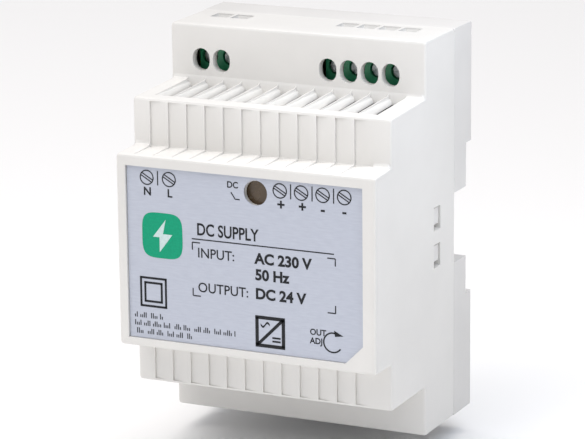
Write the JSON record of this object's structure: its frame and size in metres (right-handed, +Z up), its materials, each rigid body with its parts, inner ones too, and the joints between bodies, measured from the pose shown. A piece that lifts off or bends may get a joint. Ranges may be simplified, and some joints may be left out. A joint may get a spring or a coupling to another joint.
{
  "type": "rail-mounted power supply",
  "caption": "Power supply in a stepped plastic housing that hooks onto a 35 mm rail, with screw terminals behind holes along its top.",
  "frame": {"origin": "on the mounting rail's centre line, in the plane of the front of its lips, half way along the supply's width", "axes": "+X to the right along the rail seen from the front, +Y from the supply's front towards the wall, +Z up"},
  "size_m": [0.063, 0.055, 0.094],
  "materials": {
    "light_grey_plastic": "fine spark-eroded ABS",
    "silver_label_film": "satin printed polyester film",
    "green_terminal_plastic": "moulded polyamide",
    "black_moulding": "filled moulding compound",
    "smoked_lens": "tinted polycarbonate",
    "green_lamp_epoxy": "tinted epoxy",
    "board_laminate": "paper-phenolic laminate",
    "zinc_plated_steel": "zinc plated",
    "tinned_brass": "tin plated",
    "aluminium_sheet": "mill finish",
    "ferrite": "sintered ferrite",
    "enamelled_copper": "enamelled wire",
    "polyester_tape": "polyester tape",
    "yellow_capacitor_box": "moulded box",
    "blue_coating": "dipped epoxy",
    "green_coating": "dipped epoxy",
    "capacitor_sleeve": "shrink sleeve",
    "trimmer_blue": "moulded",
    "white_nylon": "moulded"
  },
  "bodies": {
    "housing": {"front_cover": "light_grey_plastic", "rear_base": "light_grey_plastic", "latch_spring": "zinc_plated_steel", "front_label": "silver_label_film", "input_terminal_block": "green_terminal_plastic", "output_terminal_block": "green_terminal_plastic", "main_board": "board_laminate", "board_screw_1": "zinc_plated_steel", "board_screw_2": "zinc_plated_steel", "choke_core": "ferrite", "choke_winding_1": "enamelled_copper", "choke_winding_2": "enamelled_copper", "transformer_core_upper": "ferrite", "transformer_core_lower": "ferrite", "transformer_bobbin": "black_moulding", "transformer_winding": "polyester_tape", "primary_heatsink": "aluminium_sheet", "output_heatsink": "aluminium_sheet", "switching_transistor": "black_moulding", "output_rectifier": "black_moulding", "transistor_screw": "zinc_plated_steel", "rectifier_screw": "zinc_plated_steel", "trimmer_body": "trimmer_blue", "lamp_lens": "smoked_lens", "status_lamp": "green_lamp_epoxy", "fuse": "black_moulding", "inrush_thermistor": "green_coating", "surge_varistor": "blue_coating", "line_capacitor": "yellow_capacitor_box", "bridge_rectifier": "black_moulding", "bulk_capacitor": "capacitor_sleeve", "output_capacitor_1": "capacitor_sleeve", "output_capacitor_2": "capacitor_sleeve", "optocoupler": "black_moulding", "controller_chip": "black_moulding", "isolation_capacitor": "blue_coating", "output_choke_core": "ferrite", "output_choke_winding": "enamelled_copper", "contact_bar_1": "tinned_brass", "contact_bar_2": "tinned_brass", "contact_bar_3": "tinned_brass", "contact_bar_4": "tinned_brass", "contact_bar_5": "tinned_brass", "contact_bar_6": "tinned_brass"},
    "latch": {"rail_latch": "black_moulding"},
    "rotor": {"trimmer_rotor": "white_nylon"},
    "screw_1": {"terminal_screw_1": "zinc_plated_steel"},
    "clamp_1": {"wire_clamp_1": "tinned_brass"},
    "screw_2": {"terminal_screw_2": "zinc_plated_steel"},
    "clamp_2": {"wire_clamp_2": "tinned_brass"},
    "screw_3": {"terminal_screw_3": "zinc_plated_steel"},
    "clamp_3": {"wire_clamp_3": "tinned_brass"},
    "screw_4": {"terminal_screw_4": "zinc_plated_steel"},
    "clamp_4": {"wire_clamp_4": "tinned_brass"},
    "screw_5": {"terminal_screw_5": "zinc_plated_steel"},
    "clamp_5": {"wire_clamp_5": "tinned_brass"},
    "screw_6": {"terminal_screw_6": "zinc_plated_steel"},
    "clamp_6": {"wire_clamp_6": "tinned_brass"}
  },
  "joints": [
    {"name": "latch_slide", "type": "slide", "parent": "housing", "child": "latch", "axis": [0, 0, -1], "range_m": [0, 0.003], "stiffness_N_per_m": 1500, "springref_m": -0.002, "deforming": ["latch_spring"]},
    {"name": "trimmer_turn", "type": "hinge", "parent": "housing", "child": "rotor", "pos_m": [0.0214, -0.0162, -0.0412], "axis": [0, 0, 1], "range_deg": [-135, 135]},
    {"name": "clamp_1_lift", "type": "slide", "parent": "housing", "child": "clamp_1", "axis": [0, -1, 0], "range_m": [0, 0.0016]},
    {"name": "screw_1_turn", "type": "hinge", "parent": "housing", "child": "screw_1", "pos_m": [-0.02377, -0.0186, 0.0373], "axis": [0, 1, 0], "range_deg": [0, 1152]},
    {"name": "clamp_2_lift", "type": "slide", "parent": "housing", "child": "clamp_2", "axis": [0, -1, 0], "range_m": [0, 0.0016]},
    {"name": "screw_2_turn", "type": "hinge", "parent": "housing", "child": "screw_2", "pos_m": [-0.01869, -0.0186, 0.0373], "axis": [0, 1, 0], "range_deg": [0, 1152]},
    {"name": "clamp_3_lift", "type": "slide", "parent": "housing", "child": "clamp_3", "axis": [0, -1, 0], "range_m": [0, 0.0016]},
    {"name": "screw_3_turn", "type": "hinge", "parent": "housing", "child": "screw_3", "pos_m": [0.00772, -0.0186, 0.0373], "axis": [0, 1, 0], "range_deg": [0, 1152]},
    {"name": "clamp_4_lift", "type": "slide", "parent": "housing", "child": "clamp_4", "axis": [0, -1, 0], "range_m": [0, 0.0016]},
    {"name": "screw_4_turn", "type": "hinge", "parent": "housing", "child": "screw_4", "pos_m": [0.0128, -0.0186, 0.0373], "axis": [0, 1, 0], "range_deg": [0, 1152]},
    {"name": "clamp_5_lift", "type": "slide", "parent": "housing", "child": "clamp_5", "axis": [0, -1, 0], "range_m": [0, 0.0016]},
    {"name": "screw_5_turn", "type": "hinge", "parent": "housing", "child": "screw_5", "pos_m": [0.01788, -0.0186, 0.0373], "axis": [0, 1, 0], "range_deg": [0, 1152]},
    {"name": "clamp_6_lift", "type": "slide", "parent": "housing", "child": "clamp_6", "axis": [0, -1, 0], "range_m": [0, 0.0016]},
    {"name": "screw_6_turn", "type": "hinge", "parent": "housing", "child": "screw_6", "pos_m": [0.02296, -0.0186, 0.0373], "axis": [0, 1, 0], "range_deg": [0, 1152]}
  ],
  "couplings": [
    {"joint": "screw_1_turn", "follows": "clamp_1_lift", "rad_per_m": 12566},
    {"joint": "screw_2_turn", "follows": "clamp_2_lift", "rad_per_m": 12566},
    {"joint": "screw_3_turn", "follows": "clamp_3_lift", "rad_per_m": 12566},
    {"joint": "screw_4_turn", "follows": "clamp_4_lift", "rad_per_m": 12566},
    {"joint": "screw_5_turn", "follows": "clamp_5_lift", "rad_per_m": 12566},
    {"joint": "screw_6_turn", "follows": "clamp_6_lift", "rad_per_m": 12566}
  ]
}
